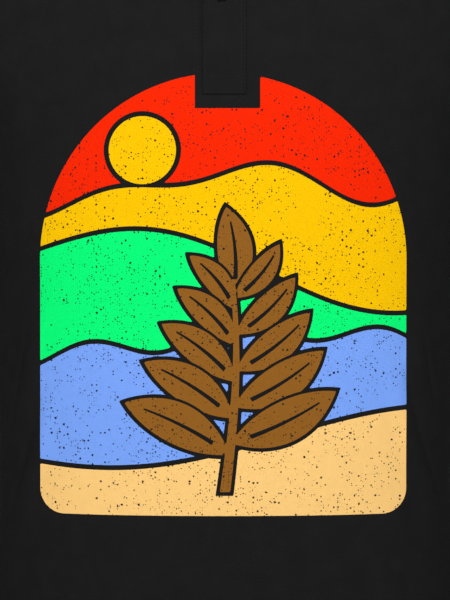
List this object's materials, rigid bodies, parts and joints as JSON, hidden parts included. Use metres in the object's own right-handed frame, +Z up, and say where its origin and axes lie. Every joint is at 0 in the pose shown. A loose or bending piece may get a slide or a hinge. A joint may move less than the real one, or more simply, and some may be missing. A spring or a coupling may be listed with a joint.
{
  "type": "polo shirt",
  "caption": "Black short-sleeve polo shirt with a folded rib collar, buttoned placket, rib cuffs and a large colour print, in its worn shape.",
  "frame": {"origin": "middle of the shirt's box, on the level hem that it stands on", "axes": "+Z up from the hem to the collar, -Y out of the front, +X to the wearer's left"},
  "size_m": [0.7414, 0.2558, 0.7451],
  "materials": {
    "pique": "matt black cotton pique knit",
    "rib": "matt black flat-knit rib",
    "button": "black, satin gloss",
    "thread": "black sewing thread",
    "print": "matt screen print in bands of red, amber, green, blue and sand, with a brown motif"
  },
  "bodies": {
    "root": {"front_panel": "pique", "back_panel": "pique", "sleeve_left": "pique", "sleeve_right": "pique", "cuff_left": "rib", "cuff_right": "rib", "collar": "rib", "placket_outer": "pique", "placket_inner": "pique", "button_lower": "button", "button_upper": "button"}
  },
  "joints": []
}
